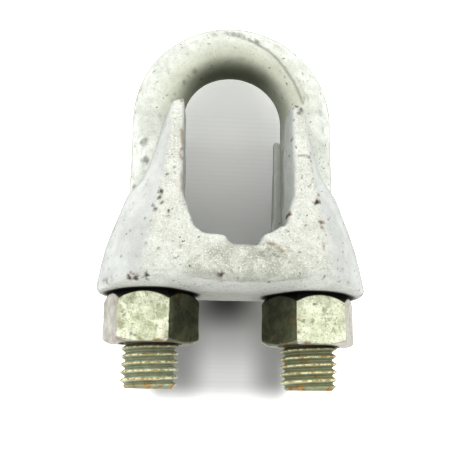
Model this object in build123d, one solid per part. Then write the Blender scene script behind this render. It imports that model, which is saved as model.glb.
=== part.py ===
from build123d import *
import math
import os

# Wire rope clip (U-bolt clip): forged U-bolt, forged saddle and two hexagon nuts.
# Units are millimetres. Frame: origin midway between the two legs, level with their lower
# ends, so the clip stands on Z = 0. +X runs from leg to leg, +Y along the rope, +Z towards
# the crown of the U. The pieces are drawn with the saddle's underside (the face that the
# nuts bear on) at height 0, and are lifted by BASE_Z when they are written.

# ---------------------------------------------------------------- U-bolt
LEG_PITCH = 53.5          # centre distance of the two legs
BAR_D = 18.1              # round bar of the U-bolt
CROWN_Z = 63.5            # centre of the crown's bend
STUD_END_Z = -31.0        # lower ends of the legs
STUD_CHAMFER = 1.9        # chamfer of each leg's lower end
SHOULDER_H = 0.9          # height of the bevel from thread down to bar diameter
SHOULDER_GAP = 0.02       # radius by which that bevel stops short of the bar

BASE_Z = -STUD_END_Z      # lift of the whole clip when it is written
BAR_R = BAR_D / 2
LEG_X = LEG_PITCH / 2

# ---------------------------------------------------------------- thread
THREAD_D = 19.05          # 3/4-10 coarse thread, major diameter
PITCH = 2.54              # 10 threads per inch
THREAD_ROOT_R = 8.0       # root radius of the external thread
THREAD_LEN = 50.8         # full thread length on each leg (2 in)
FLANK_TAN = math.tan(math.radians(30))
CUTTER_OVER = 0.18        # the stud's thread cutter stands out this far past the major radius
RUNOUT_OVER = 0.05        # the run-out's root rises this far past the major radius

THREAD_R = THREAD_D / 2
THREAD_TOP = STUD_END_Z + THREAD_LEN

# ---------------------------------------------------------------- nuts
NUT_AF = 28.575           # 1 1/8 in across flats
NUT_H = 16.5              # nut height, zinc included
NUT_MINOR_R = 8.45        # bore of the nut's thread (tapped oversize for galvanising)
THREAD_ALLOW = 0.25       # radial allowance between nut thread and stud thread
NUT_CUTTER_UNDER = 0.25   # the nut's thread cutter starts this far inside the bore
NUT_THREAD_OVER = 1.6 * PITCH             # least overrun of that cutter past each nut face
NUT_FACE_R = NUT_AF / 2 - 0.15            # flat ring left on each face by the corner chamfer
CORNER_CONE_TAN = math.tan(math.radians(60))
SINK_R = THREAD_R + THREAD_ALLOW + 0.35   # mouth of the 45 degree countersinks
SINK_DEPTH = 2.1348       # depth of the countersink cone, its tip inside the bore
NUT_PHASE_LEFT = 20.7     # degrees, where one corner points from -Y towards +X
NUT_PHASE_RIGHT = 36.0

# ---------------------------------------------------------------- saddle
# Outline at several heights:
#   z, half width of the flat front face, half depth, half width at the flank (Y = 0)
SECTIONS = [
    (0.0, 27.6, 28.2, 44.5),
    (1.3, 27.6, 28.1, 45.5),
    (3.5, 27.5, 28.0, 45.2),
    (8.5, 27.0, 27.4, 44.3),
    (14.0, 26.6, 26.8, 43.2),
    (20.0, 26.0, 26.1, 41.4),
    (25.5, 25.5, 25.4, 39.4),
    (30.5, 25.0, 24.8, 37.6),
    (32.8, 24.7, 24.6, 36.7),
    (34.4, 24.5, 24.4, 35.5),
    (36.4, 24.3, 24.2, 33.7),
    (39.0, 24.0, 23.9, 32.0),
    (43.0, 23.7, 23.4, 30.2),
    (48.0, 23.2, 22.8, 28.6),
    (56.0, 22.5, 21.9, 26.2),
    (66.0, 21.6, 20.7, 23.8),
]
CUT_REACH = 60.0          # cutters reach this far, well outside the saddle
CUT_TOP = 80.0            # height that upward cutters reach

# Rope trough, and the deeper limit of its strand grooves: half sections (x, z), rim first
SEAT_Z = 15.9             # lowest point of the trough
STRAND_DEPTH = 1.0        # depth of the strand grooves' limit below that point
TROUGH_RIM = (15.9, 24.2)
TROUGH_SIDE = [TROUGH_RIM, (14.6, 20.9), (10.4, 17.2)]
STRAND_SIDE = [TROUGH_RIM, (15.2, 20.3), (10.9, 16.2)]
STRAND_R = 5.2
STRAND_AXIS_Z = 21.3
STRAND_XS = (-21.0, -7.0, 7.0, 21.0)      # where the strand axes cross Y = 0
LAY_ANGLE = 25.0          # degrees between strands and rope

# Channel between the horns: half widths at the three heights, in the middle and at the ends
CHANNEL_HEIGHTS = (22.8, 30.0, CUT_TOP)
CHANNEL_MIDDLE = (14.6, 15.6, 16.2)
CHANNEL_END = (16.0, 19.4, 20.4)
CHANNEL_END_Y = 40.0

HOLE_R = 10.0             # leg holes
SLOT_HALF = 10.0          # half width of the slot between a front and a rear horn
SLOT_Z = 22.8             # floor of that slot

HORN_POINT = (18.2, 21.0, 63.4)           # point on the sloping top of the horn at +X +Y
HORN_NORMAL = (0.36, -0.30, 1.0)          # normal of that slope
HORN_CUT_W, HORN_CUT_H = 26.0, 20.0       # block that trims a horn
HORN_CUT_FLOOR = 40.0     # the trim stays above this height

# Flat-bottomed groove along the seat: section (x, z) and its sideways drift per unit of length
SEAT_GROOVE = [(-8.8, 22.0), (-4.4, 12.6), (4.4, 12.6), (8.8, 22.0)]
SEAT_SKEW = 1.8 / 27.0
SEAT_GROOVE_END_Y = 40.0

# Rounding of the underside towards the front and rear faces: (distance from Y = 0, z)
UNDERSIDE = [(8, 0), (14, 0.32), (20, 1.26), (24, 2.25), (30, 4.2)]
UNDERSIDE_END_SLOPE = 0.36
UNDERSIDE_CUT_Z = -3

ON_BASE = (Align.CENTER, Align.CENTER, Align.MIN)
SIDES = (-1, 1)


# ---------------------------------------------------------------- thread cutters
def helical_groove(inner, outer, start_z, turns, cone=0.0):
    """Right-hand helical cutter about Z; inner and outer are (radius, half width)."""
    (inner_r, inner_half), (outer_r, outer_half) = inner, outer
    corners = [(inner_r, -inner_half), (outer_r, -outer_half),
               (outer_r, outer_half), (inner_r, inner_half)]
    helices = [
        Edge.make_helix(PITCH, turns * PITCH, radius, (0, 0, start_z + rise), (0, 0, 1), cone)
        for radius, rise in corners
    ]
    faces = [
        Face.make_surface_from_curves(helix, following)
        for helix, following in zip(helices, helices[1:] + helices[:1])
    ]
    for end in (0, 1):
        faces.append(Face(Wire.make_polygon([helix @ end for helix in helices])))
    return Solid(Shell(faces))


def stud_groove_half(radius):
    """Half width of the external thread's groove at a radius."""
    return (PITCH - PITCH / 8) / 2 - (THREAD_R - radius) * FLANK_TAN


def nut_groove_half(radius):
    """Half width of the internal thread's groove at a radius."""
    return PITCH / 2 - stud_groove_half(radius - THREAD_ALLOW)


def nut_thread_cutter():
    """Groove half a pitch away from the stud's, so that ridge meets groove."""
    inner_r = NUT_MINOR_R - NUT_CUTTER_UNDER
    outer_r = THREAD_R + THREAD_ALLOW
    base = STUD_END_Z - 2 * PITCH + PITCH / 2
    start = base + math.floor((-NUT_H - NUT_THREAD_OVER - base) / PITCH) * PITCH
    turns = math.ceil((NUT_THREAD_OVER - start) / PITCH)
    return helical_groove((inner_r, nut_groove_half(inner_r)),
                          (outer_r, nut_groove_half(outer_r)), start, turns)


# ---------------------------------------------------------------- U-bolt
def make_stud():
    """Threaded length of one leg, from its chamfered end up to the run-out."""
    stud = Pos(0, 0, STUD_END_Z) * Cylinder(THREAD_R, THREAD_LEN, align=ON_BASE)
    stud = chamfer(stud.faces().sort_by(Axis.Z)[0].edges(), STUD_CHAMFER)
    stud = chamfer(stud.faces().sort_by(Axis.Z)[-1].edges(), length=SHOULDER_H,
                   length2=THREAD_R - BAR_R - SHOULDER_GAP)
    outer_r = THREAD_R + CUTTER_OVER
    inner = (THREAD_ROOT_R, stud_groove_half(THREAD_ROOT_R))
    outer = (outer_r, stud_groove_half(outer_r))
    start = STUD_END_Z - 2 * PITCH
    turns = round((THREAD_TOP - PITCH - start) / PITCH)
    groove = helical_groove(inner, outer, start, turns)
    # over the last turn the groove climbs out of the bar
    cone = math.degrees(math.atan((THREAD_R + RUNOUT_OVER - THREAD_ROOT_R) / PITCH))
    runout = helical_groove(inner, outer, start + turns * PITCH, 1.0, cone)
    return stud - groove - runout


def make_u_bolt():
    section = Plane(origin=(LEG_X, 0, 0), z_dir=(0, 1, 0)) * Circle(BAR_R)
    crown = sweep(section, path=CenterArc((0, 0), LEG_X, 0, 180))
    body = Pos(0, 0, CROWN_Z) * (Rot(90, 0, 0) * crown)
    leg = Pos(0, 0, THREAD_TOP) * Cylinder(BAR_R, CROWN_Z - THREAD_TOP, align=ON_BASE)
    for piece in (leg, make_stud()):
        for side in SIDES:
            body = body + Pos(side * LEG_X, 0, 0) * piece
    return body


# ---------------------------------------------------------------- nuts
def make_nut(side, phase):
    """Nut with its top face on the saddle's underside, its thread in mesh with the stud's."""
    corner_r = NUT_AF / math.sqrt(3)
    angles = [math.radians(phase + 60 * k) for k in range(6)]
    corners = [(corner_r * math.sin(angle), -corner_r * math.cos(angle)) for angle in angles]
    body = extrude(make_face(Polyline(*corners, close=True)), amount=NUT_H)
    # a cone from each face trims the six corners
    wide_r = NUT_FACE_R + NUT_H * CORNER_CONE_TAN
    body = body & Cone(NUT_FACE_R, wide_r, NUT_H, align=ON_BASE)
    body = body & Cone(wide_r, NUT_FACE_R, NUT_H, align=ON_BASE)
    body = body - Pos(0, 0, NUT_H / 2) * Cylinder(NUT_MINOR_R, NUT_H * 2)
    sink = Cone(SINK_R, SINK_R - SINK_DEPTH, SINK_DEPTH, align=ON_BASE)
    body = body - sink - Pos(0, 0, NUT_H) * (Rot(180, 0, 0) * sink)
    body = Pos(0, 0, -NUT_H) * body - nut_thread_cutter()
    return Pos(side * LEG_X, 0, 0) * body


# ---------------------------------------------------------------- saddle
def outline(z, front_half, depth_half, flank_half):
    """Closed outline at height z: flat front and rear, bowed flanks."""
    front_left, front_right = (-front_half, -depth_half, z), (front_half, -depth_half, z)
    rear_left, rear_right = (-front_half, depth_half, z), (front_half, depth_half, z)
    return Wire([
        Edge.make_line(front_left, front_right),
        Edge.make_three_point_arc(front_right, (flank_half, 0, z), rear_right),
        Edge.make_line(rear_right, rear_left),
        Edge.make_three_point_arc(rear_left, (-flank_half, 0, z), front_left),
    ])


def through_cutter(plane, curves):
    """Closed profile in a plane, extruded both ways through the saddle."""
    return extrude(plane * make_face(curves), amount=CUT_REACH, both=True)


def trough_curve(side_points, bottom_z):
    """Spline from the left rim through the bottom to the right rim."""
    left = [(-x, z) for x, z in side_points]
    return Spline(*left, (0, bottom_z), *reversed(side_points))


def trough_cutter():
    """Rope trough along Y, open upwards."""
    x, z = TROUGH_RIM
    above = Polyline((x, z), (x, CUT_TOP), (-x, CUT_TOP), (-x, z))
    return through_cutter(Plane.XZ, [trough_curve(TROUGH_SIDE, SEAT_Z), above])


def channel_section(y, half_widths):
    low, mid, top = half_widths
    low_z, mid_z, top_z = CHANNEL_HEIGHTS
    return Wire.make_polygon([(-low, y, low_z), (low, y, low_z), (mid, y, mid_z),
                              (top, y, top_z), (-top, y, top_z), (-mid, y, mid_z)])


def horn_cutter(side_x, side_y):
    """Block above one horn; its face falls outwards in X and rises outwards in Y."""
    x, y, z = HORN_POINT
    normal_x, normal_y, normal_z = HORN_NORMAL
    slope = Plane(origin=(side_x * x, side_y * y, z),
                  z_dir=Vector(side_x * normal_x, side_y * normal_y, normal_z))
    block = slope * Box(HORN_CUT_W, HORN_CUT_W, HORN_CUT_H, align=ON_BASE)
    quarter = Box(CUT_REACH, CUT_REACH, CUT_REACH,
                  align=(Align.MIN if side_x > 0 else Align.MAX,
                         Align.MIN if side_y > 0 else Align.MAX,
                         Align.MIN))
    return block & (Pos(0, 0, HORN_CUT_FLOOR) * quarter)


def seat_groove_cutter():
    """Flat-bottomed groove along the middle of the seat, a little askew."""
    end_y = SEAT_GROOVE_END_Y
    end = Face(Wire.make_polygon([(end_y * SEAT_SKEW + x, -end_y, z) for x, z in SEAT_GROOVE]))
    return extrude(end, amount=2 * end_y * math.hypot(1, SEAT_SKEW),
                   dir=Vector(-SEAT_SKEW, 1, 0).normalized())


def underside_cutter(side):
    """Rounds the underside up to the front (-1) or rear (1) face."""
    points = [(side * y, z) for y, z in UNDERSIDE]
    curve = Spline(*points, tangents=[(side, 0), (side, UNDERSIDE_END_SLOPE)])
    inner, outer = points[0], points[-1]
    rest = Polyline(outer, (outer[0], UNDERSIDE_CUT_Z), (inner[0], UNDERSIDE_CUT_Z), inner)
    return through_cutter(Plane.YZ, [curve, rest])


def make_saddle():
    body = Solid.make_loft([outline(*section) for section in SECTIONS], ruled=True)
    body = body - trough_cutter()

    # the channel between the horns opens a little towards both faces
    for side in SIDES:
        body = body - Solid.make_loft([channel_section(0, CHANNEL_MIDDLE),
                                       channel_section(side * CHANNEL_END_Y, CHANNEL_END)],
                                      ruled=True)

    # leg holes, and from the middle to each a slot that lets the crown come down
    slot = Box(LEG_X, 2 * SLOT_HALF, 100, align=ON_BASE)
    for side in SIDES:
        body = body - Pos(side * LEG_X, 0, 0) * Cylinder(HOLE_R, 200)
        body = body - Pos(side * LEG_X / 2, 0, SLOT_Z) * slot

    for side_x in SIDES:
        for side_y in SIDES:
            body = body - horn_cutter(side_x, side_y)

    body = body - seat_groove_cutter()

    # shallow strand grooves across the seat, matched to a right-lay rope
    x, z = TROUGH_RIM
    limit = through_cutter(Plane.XZ, [trough_curve(STRAND_SIDE, SEAT_Z - STRAND_DEPTH),
                                      Line((x, z), (-x, z))])
    strand = Rot(0, 0, LAY_ANGLE) * (Rot(90, 0, 0) * Cylinder(STRAND_R, 160))
    for strand_x in STRAND_XS:
        body = body - ((Pos(strand_x, 0, STRAND_AXIS_Z) * strand) & limit)

    for side in SIDES:
        body = body - underside_cutter(side)
    return body


# ---------------------------------------------------------------- build and write
NODES = {
    "u_bolt": make_u_bolt(),
    "saddle": make_saddle(),
    "nut_left": make_nut(-1, NUT_PHASE_LEFT),
    "nut_right": make_nut(1, NUT_PHASE_RIGHT),
}
os.makedirs("parts", exist_ok=True)
for name, shape in NODES.items():
    export_step(Pos(0, 0, BASE_Z) * shape, "parts/" + name + ".step")
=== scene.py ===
"""A galvanised U-bolt clip: a threaded U-bolt, a forged saddle and two hex nuts.

The loop of the U-bolt lies in the X-Z plane with its bend at the top and its leg ends
at z = 0. The front faces -Y. Lengths are in mm unless a comment says otherwise.
"""
import math

import bmesh
import bpy
import numpy as np
from mathutils import Matrix, Vector


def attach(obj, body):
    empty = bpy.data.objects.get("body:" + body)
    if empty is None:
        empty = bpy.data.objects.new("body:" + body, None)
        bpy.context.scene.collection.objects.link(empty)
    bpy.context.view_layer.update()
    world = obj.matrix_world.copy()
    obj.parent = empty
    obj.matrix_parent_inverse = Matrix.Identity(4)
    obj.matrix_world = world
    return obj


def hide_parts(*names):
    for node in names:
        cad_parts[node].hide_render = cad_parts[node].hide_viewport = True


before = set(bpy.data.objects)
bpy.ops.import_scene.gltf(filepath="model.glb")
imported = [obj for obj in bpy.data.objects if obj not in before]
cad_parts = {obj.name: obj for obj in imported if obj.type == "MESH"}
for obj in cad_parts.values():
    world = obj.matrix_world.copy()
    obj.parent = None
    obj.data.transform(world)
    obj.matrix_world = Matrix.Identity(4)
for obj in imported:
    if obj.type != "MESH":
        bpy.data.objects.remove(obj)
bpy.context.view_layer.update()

MM = 0.001                      # metres in a millimetre

# U-bolt
X_LEG = 26.75                   # leg axis from the middle, also the radius of the bend
CROWN_Z = 94.5                  # height of the bend's centre
BEND_LENGTH = math.pi * X_LEG
BAR_LENGTH = 2 * CROWN_Z + BEND_LENGTH
BAR_R = 9.05
BAR_SIDES = 128

# Thread
PITCH = 2.54
THREAD_TOP = 50.8
THREAD_START = -2 * PITCH
THREAD_TURNS = 22
THREAD_R = 9.525
ROOT_R = 8.0
ROOT_HALF_WIDTH = 0.2308
RUN_OUT_RISE = 1.575            # rise of the root over the last turn
END_R = 7.625                   # radius at z = 0, where the 45 degree end chamfer starts
TOP_CHAMFER_HEIGHT = 0.9
TOP_CHAMFER_DEPTH = 0.455
# mesh rows of one turn, along the bar
TURN_ROWS = [-0.15875, 0.0, 0.15875, 0.379, 0.599, 0.819,
             1.0392, 1.27, 1.5008, 1.721, 1.941, 2.161]
FIRST_ROW_TURN, LAST_ROW_TURN = -3, 22
FIRST_SPAN, WIDEST_SPAN = 0.25, 0.75    # row spacing on the plain bar
SPAN_GROWTH, GROWTH_LENGTH = 1.12, 4.0

# Leg ends
CUT_Z = 0.02
END_RINGS = [(0.86, 0.05), (0.66, 0.12), (0.46, 0.16), (0.28, 0.18), (0.12, 0.16)]  # scale, height

# Saddle and nuts
SADDLE_Z = 31.0                 # underside of the saddle, on which the nuts bear
# half-depth of the saddle in y at each height
FACE_Z = np.array([0.0, 1.3, 3.5, 8.5, 14, 20, 25.5, 30.5, 39, 48, 56, 66]) + SADDLE_Z
FACE_Y = np.array([28.2, 28.1, 28.0, 27.4, 26.8, 26.1, 25.4, 24.8, 23.9, 22.8, 21.9, 20.7])
CREASE_Z = 32.0                 # lower crease of the saddle's front and rear faces
NUT_Z = 14.5, 30.996            # lowest and highest point of a nut

# Camera
CAM_AZIMUTH, CAM_ELEVATION, CAM_ROLL = -5.03, -13.34, 0.75  # degrees
CAM_DISTANCE = 245.17
CAM_LENS = 56.032
CAM_TARGET = (-2.184, 0.0, 56.108)


# ------------------------------------------------------------------ noise and masks
_rng = np.random.default_rng(20)
_PERM = _rng.permutation(256)
_slopes = _rng.normal(size=(256, 3))
_GRAD = _slopes / np.linalg.norm(_slopes, axis=1)[:, None]


def noise(pos, size, seed):
    """Smooth gradient noise in about -1..1."""
    pos = pos / size + np.array([17.31, 5.17, 9.73]) * (seed + 1)
    cell = np.floor(pos).astype(np.int64)
    part = pos - cell
    ease = part * part * part * (part * (part * 6 - 15) + 10)
    corner = {}
    for dx in (0, 1):
        for dy in (0, 1):
            for dz in (0, 1):
                pick = _PERM[(cell[:, 0] + dx) & 255]
                pick = _PERM[(pick + cell[:, 1] + dy) & 255]
                pick = _PERM[(pick + cell[:, 2] + dz) & 255]
                corner[dx, dy, dz] = (_GRAD[pick] * (part - np.array([dx, dy, dz]))).sum(1)

    def blend(low, high, axis):
        return low * (1 - ease[:, axis]) + high * ease[:, axis]

    edges = [[blend(corner[0, y, z], corner[1, y, z], 0) for z in (0, 1)] for y in (0, 1)]
    faces = [blend(edges[0][z], edges[1][z], 1) for z in (0, 1)]
    return blend(faces[0], faces[1], 2) * 1.5


def relief(pos, *layers):
    """Sum of noises; each layer is height, size, seed."""
    return sum(height * noise(pos, size, seed) for height, size, seed in layers)


def step(value, low, high):
    """Smooth rise from 0 at low to 1 at high."""
    t = np.clip((value - low) / (high - low), 0, 1)
    return t * t * (3 - 2 * t)


def fall(value, low, high):
    """Smooth fall from 1 at low to 0 at high."""
    return step(-value, -high, -low)


def ridge(distance, width):
    """Bell curve: 1 at distance 0, fading over width."""
    return np.exp(-(distance / width) ** 2)


class Skin:
    """Surface of each vertex: outward shift in mm, darkness and rust (0..1); on the saddle the
    darkness also holds painted shade.
    """

    def __init__(self, pos, shift):
        self.pos, self.shift = pos, shift
        self.dark = np.zeros(len(pos))
        self.rust = np.zeros(len(pos))

    def patches(self, size, seed, low, high):
        """Noise of a size, turned into a mask between two levels."""
        return step(noise(self.pos, size, seed), low, high)

    def line_distance(self, points):
        """Distance in the X-Z plane to a line through (x, z) points."""
        flat = self.pos[:, [0, 2]]
        best = np.full(len(flat), 1e9)
        points = np.array(points, float)
        for start, end in zip(points[:-1], points[1:]):
            run = end - start
            t = np.clip(((flat - start) @ run) / (run @ run), 0, 1)
            best = np.minimum(best, np.linalg.norm(flat - start - t[:, None] * run, axis=1))
        return best

    def darken(self, amount):
        self.dark = np.maximum(self.dark, amount)

    def stain(self, amount):
        self.rust = np.maximum(self.rust, amount)

    def dent(self, shape, depth, tone):
        self.shift -= depth * shape
        self.darken(tone * shape)

    def pits(self, seed, where, count, radius, depth, tone, power=1.5, squash=None):
        """Random round dents; radius, depth, tone and squash in z are (least, most)."""
        rng = np.random.default_rng(seed)
        for centre in self.pos[rng.choice(np.flatnonzero(where), count, replace=False)]:
            size = rng.uniform(*radius)
            z_scale = rng.uniform(*squash) if squash else 1.0
            away = np.linalg.norm((self.pos - centre) * np.array([1, 1, z_scale]), axis=1)
            shape = np.clip(1 - (away / size) ** 2, 0, 1) ** power
            self.dent(shape, rng.uniform(*depth), rng.uniform(*tone))


# ------------------------------------------------------------------ mesh tools
def positions(ob):
    pos = np.zeros(len(ob.data.vertices) * 3, np.float32)
    ob.data.vertices.foreach_get("co", pos)
    return pos.reshape(-1, 3).astype(float) / MM


def set_positions(ob, pos):
    ob.data.vertices.foreach_set("co", (pos * MM).astype(np.float32).ravel())
    ob.data.update()


def vertex_normals(ob):
    normal = np.zeros(len(ob.data.vertices) * 3, np.float32)
    ob.data.vertex_normals.foreach_get("vector", normal)
    return normal.reshape(-1, 3).astype(float)


def relax(ob, rounds, weight=np.ones(1)):
    """Move each vertex halfway, times weight, to the mean of its neighbours."""
    edges = np.zeros(len(ob.data.edges) * 2, np.int32)
    ob.data.edges.foreach_get("vertices", edges)
    edges = edges.reshape(-1, 2)
    pos = positions(ob)
    size = len(pos)
    neighbours = np.bincount(edges.ravel(), minlength=size).astype(float)
    pull = (0.5 * weight)[:, None]
    for _ in range(rounds):
        total = np.zeros_like(pos)
        for k in range(3):
            total[:, k] = (np.bincount(edges[:, 0], pos[edges[:, 1], k], size)
                           + np.bincount(edges[:, 1], pos[edges[:, 0], k], size))
        pos = pos + pull * (total / neighbours[:, None] - pos)
    set_positions(ob, pos)


def add_attributes(ob, **masks):
    for name, values in masks.items():
        layer = ob.data.attributes.new(name, "FLOAT", "POINT")
        layer.data.foreach_set("value", np.clip(values, 0, 1).astype(np.float32))


def shade_smooth(ob):
    ob.data.polygons.foreach_set("use_smooth", [True] * len(ob.data.polygons))
    ob.data.update()


def link_object(name, data):
    ob = bpy.data.objects.new(name, data)
    bpy.context.scene.collection.objects.link(ob)
    return ob


def remeshed(node, name, voxel):
    """An even, fine copy of a CAD node's surface."""
    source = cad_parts[node].data.copy()
    bm = bmesh.new()
    bm.from_mesh(source)
    bmesh.ops.remove_doubles(bm, verts=bm.verts, dist=1e-6)
    bm.to_mesh(source)
    bm.free()
    source.materials.clear()
    ob = link_object(name, source)
    remesh = ob.modifiers.new("even", "REMESH")
    remesh.mode = "VOXEL"
    remesh.voxel_size = voxel * MM
    remesh.adaptivity = 0.0
    bpy.context.view_layer.update()
    depsgraph = bpy.context.evaluated_depsgraph_get()
    mesh = bpy.data.meshes.new_from_object(ob.evaluated_get(depsgraph))
    ob.modifiers.clear()
    ob.data = mesh
    mesh.name = name
    bpy.data.meshes.remove(source)
    kept = ("position", "sharp_face", "material_index")
    for layer in list(mesh.attributes):
        if not layer.is_required and not layer.is_internal and layer.name not in kept:
            mesh.attributes.remove(layer)
    return ob


# ------------------------------------------------------------------ U-bolt
# raised run across the bend: x, z
RUN_LINE = [(5.2, 123.4), (8.8, 121.5), (12.5, 119.3), (16.1, 115.9),
            (18.8, 112.2), (21.5, 108.1), (23.3, 104.4), (24.8, 100.0)]
# degrees from the top towards +X, and the radius inside which the run has a dark edge
RUN_EDGE_ANGLE = [10, 18, 27, 37, 47, 58, 77]
RUN_EDGE_R = [29.3, 28.4, 27.7, 26.7, 25.9, 25.4, 25.4]
# single marks on the front of the bar: x, z, radius, depth, darkness
BAR_MARKS = [
    (-31.3, 82.8, 1.9, 0.10, 0.58), (-30.5, 76.0, 1.9, 0.10, 0.58), (-34.2, 67.0, 1.1, 0.08, 0.55),
    (-33.4, 64.9, 1.2, 0.10, 0.7), (-34.9, 62.6, 1.3, 0.06, 0.5), (-2.9, 125.6, 1.5, 0.05, 0.40),
    (-0.9, 125.3, 1.7, 0.05, 0.50), (1.3, 124.9, 1.6, 0.05, 0.5), (3.0, 124.0, 1.3, 0.05, 0.4),
    (-33.6, 103.4, 1.5, 0.05, 0.3), (-18.1, 105.9, 1.1, 0.05, 0.4), (-14.3, 110.1, 1.0, 0.05, 0.4),
    (-26.2, 92.0, 1.2, 0.05, 0.25), (-7.8, 124.5, 1.2, 0.04, 0.3), (-23.8, 109.0, 1.3, 0.05, 0.22),
    (24.5, 101.0, 1.0, 0.05, 0.3), (31.0, 96.0, 1.2, 0.04, 0.18),
]


def bar_rows():
    """Places of the mesh rows along the bar: dense on both threads, coarser between."""
    left = [PITCH * turn + row
            for turn in range(FIRST_ROW_TURN, LAST_ROW_TURN) for row in TURN_ROWS]
    right = [BAR_LENGTH + PITCH / 2 - PITCH * turn + row
             for turn in range(LAST_ROW_TURN, FIRST_ROW_TURN - 1, -1) for row in TURN_ROWS]
    spans = []
    span = FIRST_SPAN
    while sum(spans) < GROWTH_LENGTH:
        span = min(WIDEST_SPAN, span * SPAN_GROWTH)
        spans.append(span)
    place = left[-1]
    middle = right[0] - place - 2 * sum(spans)
    count = round(middle / WIDEST_SPAN)
    spans = spans + [middle / count] * count + spans[::-1]
    plain = []
    for span in spans[:-1]:
        place += span
        plain.append(place)
    return np.array(left + plain + right)


def thread_radius(z, angle, on_left):
    """Thread profile with run-out, top chamfer and end chamfer."""
    phase = np.mod(np.where(on_left, np.pi + angle, -angle), 2 * np.pi) / (2 * np.pi)
    turns = (z - THREAD_START) / PITCH - phase
    turn = np.minimum(np.round(turns), np.floor(THREAD_TURNS - phase - 1e-9))
    from_root = np.abs(turns - turn) * PITCH
    slope = math.tan(math.radians(30))
    radius = ROOT_R + np.clip((from_root - ROOT_HALF_WIDTH) / slope, 0, 3)
    radius = radius + np.clip(turn + phase - (THREAD_TURNS - 1), 0, 1) * RUN_OUT_RISE
    radius = np.minimum(radius, THREAD_R)
    radius = np.minimum(radius, END_R + np.maximum(z, 0))
    chamfer = np.clip((z - (THREAD_TOP - TOP_CHAMFER_HEIGHT)) / TOP_CHAMFER_HEIGHT, 0, 1)
    return np.minimum(radius, THREAD_R - TOP_CHAMFER_DEPTH * chamfer)


def bar_faces(count):
    """Quads between columns; the last column meets the first one a turn further on."""
    index = np.arange(count * BAR_SIDES).reshape(count, BAR_SIDES)
    pairs = [(index[:, j], index[:, j + 1]) for j in range(BAR_SIDES - 1)]
    turn = len(TURN_ROWS)
    pairs.append((index[:count - turn, -1], index[turn:, 0]))
    return np.concatenate(
        [np.stack([a[:-1], b[:-1], b[1:], a[1:]], 1) for a, b in pairs]).tolist()


def mark_run(skin, front, bend_angle):
    """The raised run on the bend, with its dark inner edge and worn end."""
    x, _, z = skin.pos.T
    away = skin.line_distance(RUN_LINE)
    width = 0.55 + 0.25 * noise(skin.pos, 5, 21)
    skin.shift += 0.22 * (ridge(away, width) * front)
    edge_r = np.interp(bend_angle, RUN_EDGE_ANGLE, RUN_EDGE_R)
    edge = ridge(away - 0.75, 0.42) * front * (np.hypot(x, z - CROWN_Z) < edge_r)
    skin.darken(edge * (0.38 + 0.30 * skin.patches(3, 22, -0.3, 0.5) * fall(x, 8, 17)))
    worn = (1 - step(away, 0.6, 1.9)) * front * fall(x, 9, 13.5)
    skin.darken(0.5 * (worn * skin.patches(1.5, 24, 0.0, 0.45)))


def mark_bar(skin, front):
    x, _, z = skin.pos.T
    ragged = 1 + 0.55 * noise(skin.pos, 1.3, 25)
    mottle = 0.75 + 0.35 * noise(skin.pos, 0.9, 23)
    for mark_x, mark_z, radius, depth, tone in BAR_MARKS:
        away = np.hypot(x - mark_x, (z - mark_z) * 0.85) * ragged
        shape = (1 - step(away, radius * 0.35, radius)) * front
        skin.shift -= depth * shape
        skin.darken(tone * shape * mottle)


def close_leg_ends(ob):
    """Cut both legs level and close them with a slightly hollow, low dome."""
    bm = bmesh.new()
    bm.from_mesh(ob.data)
    bmesh.ops.bisect_plane(
        bm, geom=bm.verts[:] + bm.edges[:] + bm.faces[:], dist=1e-8,
        plane_co=(0, 0, CUT_Z * MM), plane_no=(0, 0, -1), clear_outer=True)
    bmesh.ops.remove_doubles(bm, verts=[v for v in bm.verts if v.co.z < 0.0001], dist=2e-6)
    rims = [edge for edge in bm.edges if edge.is_boundary]
    # hole filling takes over if no face can be made straight from the rims
    if not bmesh.ops.contextual_create(bm, geom=rims)["faces"]:
        bmesh.ops.holes_fill(bm, edges=rims, sides=0)
    caps = [face for face in bm.faces if len(face.verts) > 8]
    rust = bm.verts.layers.float["rust"]
    thread = bm.verts.layers.float["thread"]
    rng = np.random.default_rng(3)
    for cap in caps:
        rim = list(cap.verts)
        centre_x = sum(v.co.x for v in rim) / len(rim)
        bmesh.ops.delete(bm, geom=[cap], context="FACES_ONLY")
        last = rim
        for scale, height in END_RINGS:
            ring = []
            for v in rim:
                new = bm.verts.new((centre_x + (v.co.x - centre_x) * scale, v.co.y * scale,
                                    CUT_Z * MM + height * MM))
                new[rust] = 0.25 + 0.5 * rng.random()
                new[thread] = 1.0
                ring.append(new)
            for i in range(len(rim)):
                j = (i + 1) % len(rim)
                bm.faces.new((last[i], last[j], ring[j], ring[i]))
            last = ring
        bm.faces.new(last)
    bmesh.ops.recalc_face_normals(bm, faces=bm.faces[:])
    bm.to_mesh(ob.data)
    bm.free()


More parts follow.
